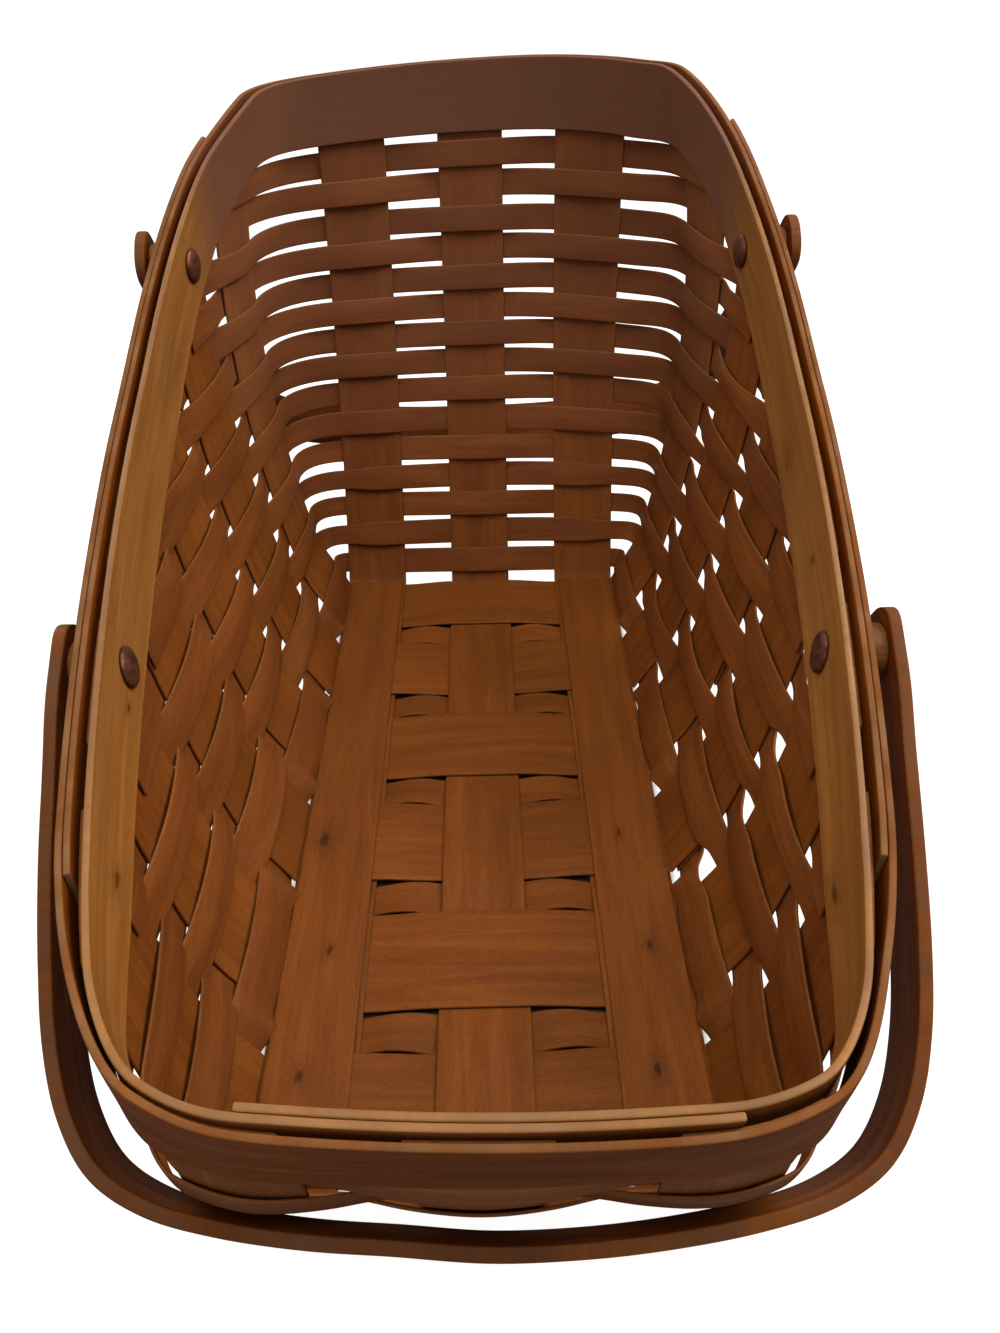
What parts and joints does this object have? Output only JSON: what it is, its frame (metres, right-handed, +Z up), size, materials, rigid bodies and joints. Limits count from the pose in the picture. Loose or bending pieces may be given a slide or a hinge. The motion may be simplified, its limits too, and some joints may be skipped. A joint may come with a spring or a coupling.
{
  "type": "splint vegetable basket",
  "caption": "Deep woven splint basket whose rim slopes down from a high back to a low front, with a bentwood swing handle at each end.",
  "frame": {"origin": "middle of the whole object's footprint, on the surface it stands on", "axes": "+Z up, +Y from the low front towards the high back, +X to the right when seen from the low front"},
  "size_m": [0.2143, 0.367, 0.2027],
  "materials": {
    "splint": "stained satin",
    "weaver": "stained satin",
    "rim": "stained satin",
    "handle": "stained semi-gloss",
    "rivet": "oxidised brown"
  },
  "bodies": {
    "basket": {"cross_splint_1": "splint", "cross_splint_2": "splint", "cross_splint_3": "splint", "cross_splint_4": "splint", "cross_splint_5": "splint", "cross_splint_6": "splint", "left_lengthwise_splint": "splint", "centre_lengthwise_splint": "splint", "right_lengthwise_splint": "splint", "floor_filler_1": "splint", "floor_filler_2": "splint", "floor_filler_3": "splint", "floor_filler_4": "splint", "floor_filler_5": "splint", "left_floor_reinforcement": "splint", "right_floor_reinforcement": "splint", "weaver_row_01": "weaver", "weaver_row_02": "weaver", "weaver_row_03": "weaver", "weaver_row_04": "weaver", "weaver_row_05": "weaver", "weaver_row_06": "weaver", "weaver_row_07": "weaver", "weaver_row_08": "weaver", "weaver_row_09": "weaver", "weaver_row_10": "weaver", "weaver_row_11": "weaver", "weaver_row_12": "weaver", "weaver_row_13": "weaver", "weaver_row_14": "weaver", "weaver_row_15": "weaver", "inner_rim_band": "rim", "back_outer_rim_band": "rim", "front_outer_rim_band": "rim", "front_left_spacer": "rim", "front_right_spacer": "rim", "rear_left_spacer": "rim", "rear_right_spacer": "rim", "front_left_rivet": "rivet", "front_right_rivet": "rivet", "rear_left_rivet": "rivet", "rear_right_rivet": "rivet"},
    "front_handle": {"front_handle": "handle"},
    "rear_handle": {"rear_handle": "handle"}
  },
  "joints": [
    {"name": "front_handle_hinge", "type": "hinge", "parent": "basket", "child": "front_handle", "pos_m": [0.00117, -0.06311, 0.09781], "axis": [-1, 0, 0], "range_deg": [0, 132]},
    {"name": "rear_handle_hinge", "type": "hinge", "parent": "basket", "child": "rear_handle", "pos_m": [0.00047, 0.08189, 0.15456], "axis": [0.9995, 0.0332, 0], "range_deg": [0, 186]}
  ]
}
